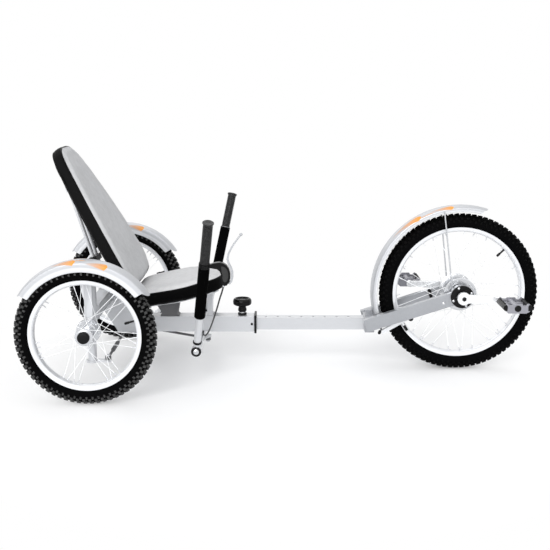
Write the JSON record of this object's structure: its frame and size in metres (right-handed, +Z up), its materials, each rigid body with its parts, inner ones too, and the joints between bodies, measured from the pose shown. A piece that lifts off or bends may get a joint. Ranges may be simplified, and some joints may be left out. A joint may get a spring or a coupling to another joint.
{
  "type": "recumbent pedal trike",
  "caption": "Low pedal trike with a driven front wheel on a sliding boom, a reclined padded seat, and rear wheels steered by two upright levers.",
  "frame": {"origin": "floor level, midway between the rear edge of the rear tyres and the front edge of the front tyre, on the mid-plane", "axes": "+X forward towards the front wheel, +Y to the rider's left, +Z up"},
  "size_m": [1.5813, 0.77, 0.7151],
  "materials": {
    "tyre_rubber": "moulded tread",
    "rim_metal": "polished",
    "hub_metal": "satin",
    "spoke_steel": "bright drawn wire",
    "frame_paint": "silver metallic paint",
    "fender_paint": "silver paint with orange flashes",
    "black_plastic": "moulded",
    "black_steel": "black enamel",
    "zinc_steel": "zinc plated",
    "seat_fabric": "light grey cloth with black side band",
    "foam_sleeve": "closed cell foam",
    "grip_rubber": "ribbed",
    "crank_metal": "polished",
    "pedal_metal": "satin grey",
    "cable_sheath": "smooth"
  },
  "bodies": {
    "frame": {"main_tube": "frame_paint", "tube_collar": "black_plastic", "length_knob": "black_plastic", "rear_beam": "frame_paint", "gusset_plates": "frame_paint", "steering_pivot": "zinc_steel", "seat_pan": "frame_paint", "seat_post": "frame_paint", "seat_bracket": "black_steel", "seat_pad": "seat_fabric", "seat_back": "seat_fabric", "back_hinges": "black_steel", "back_post": "frame_paint", "back_strut": "frame_paint"},
    "steering": {"steering_bar": "frame_paint", "lever_tubes": "frame_paint", "lever_foams": "foam_sleeve", "lever_grips": "grip_rubber", "brake_lever": "black_plastic", "brake_cable": "cable_sheath"},
    "knuckle_right_body": {"knuckle_right": "frame_paint", "rear_fender_right": "fender_paint"},
    "knuckle_left_body": {"knuckle_left": "frame_paint", "rear_fender_left": "fender_paint"},
    "tie_rod_body": {"tie_rod": "zinc_steel"},
    "drag_link_body": {"drag_link": "zinc_steel"},
    "rear_wheel_right": {"rear_tyre_right": "tyre_rubber", "rear_rim_right": "rim_metal", "rear_hub_right": "hub_metal", "rear_spokes_right": "spoke_steel"},
    "rear_wheel_left": {"rear_tyre_left": "tyre_rubber", "rear_rim_left": "rim_metal", "rear_hub_left": "hub_metal", "rear_spokes_left": "spoke_steel"},
    "boom": {"boom_tube": "frame_paint", "fork": "frame_paint", "bearing_plates": "black_steel", "front_brake": "zinc_steel", "front_fender": "fender_paint", "fender_stays": "spoke_steel"},
    "front_wheel": {"front_tyre": "tyre_rubber", "front_rim": "rim_metal", "front_hub": "hub_metal", "front_spokes": "spoke_steel"},
    "cranks": {"crankset": "crank_metal"},
    "pedal_right_body": {"pedal_right": "pedal_metal"},
    "pedal_left_body": {"pedal_left": "pedal_metal"}
  },
  "joints": [
    {"name": "steering_levers", "type": "hinge", "parent": "frame", "child": "steering", "pos_m": [-0.28625, 0, 0.11], "axis": [0, 0, 1], "range_deg": [-20, 20]},
    {"name": "right_wheel_steering", "type": "hinge", "parent": "frame", "child": "knuckle_right_body", "pos_m": [-0.58625, -0.262, 0.2045], "axis": [0, 0, 1], "range_deg": [-20, 20]},
    {"name": "left_wheel_steering", "type": "hinge", "parent": "frame", "child": "knuckle_left_body", "pos_m": [-0.58625, 0.262, 0.2045], "axis": [0, 0, 1], "range_deg": [-20, 20]},
    {"name": "tie_rod_end", "type": "hinge", "parent": "knuckle_right_body", "child": "tie_rod_body", "pos_m": [-0.54025, -0.262, 0.112], "axis": [0, 0, 1], "range_deg": [-20, 20]},
    {"name": "drag_link_end", "type": "hinge", "parent": "steering", "child": "drag_link_body", "pos_m": [-0.26786, 0.03095, 0.088], "axis": [0, 0, 1], "range_deg": [-20, 20]},
    {"name": "rear_wheel_right_spin", "type": "hinge", "parent": "knuckle_right_body", "child": "rear_wheel_right", "pos_m": [-0.58625, -0.345, 0.2045], "axis": [0, 1, 0], "continuous": true},
    {"name": "rear_wheel_left_spin", "type": "hinge", "parent": "knuckle_left_body", "child": "rear_wheel_left", "pos_m": [-0.58625, 0.345, 0.2045], "axis": [0, 1, 0], "continuous": true},
    {"name": "boom_slide", "type": "slide", "parent": "frame", "child": "boom", "axis": [1, 0, 0], "range_m": [-0.266, 0.076]},
    {"name": "front_wheel_spin", "type": "hinge", "parent": "boom", "child": "front_wheel", "pos_m": [0.53775, 0, 0.253], "axis": [0, 1, 0], "continuous": true},
    {"name": "crank_spin", "type": "hinge", "parent": "boom", "child": "cranks", "pos_m": [0.53775, 0, 0.253], "axis": [0, 1, 0], "continuous": true},
    {"name": "pedal_right_spin", "type": "hinge", "parent": "cranks", "child": "pedal_right_body", "pos_m": [0.67767, -0.17, 0.24836], "axis": [0, 1, 0], "continuous": true},
    {"name": "pedal_left_spin", "type": "hinge", "parent": "cranks", "child": "pedal_left_body", "pos_m": [0.39783, 0.17, 0.25764], "axis": [0, 1, 0], "continuous": true}
  ],
  "couplings": [
    {"joint": "right_wheel_steering", "follows": "steering_levers", "ratio": -1},
    {"joint": "left_wheel_steering", "follows": "steering_levers", "ratio": -1},
    {"joint": "tie_rod_end", "follows": "steering_levers", "ratio": 1},
    {"joint": "drag_link_end", "follows": "steering_levers", "ratio": -1}
  ]
}
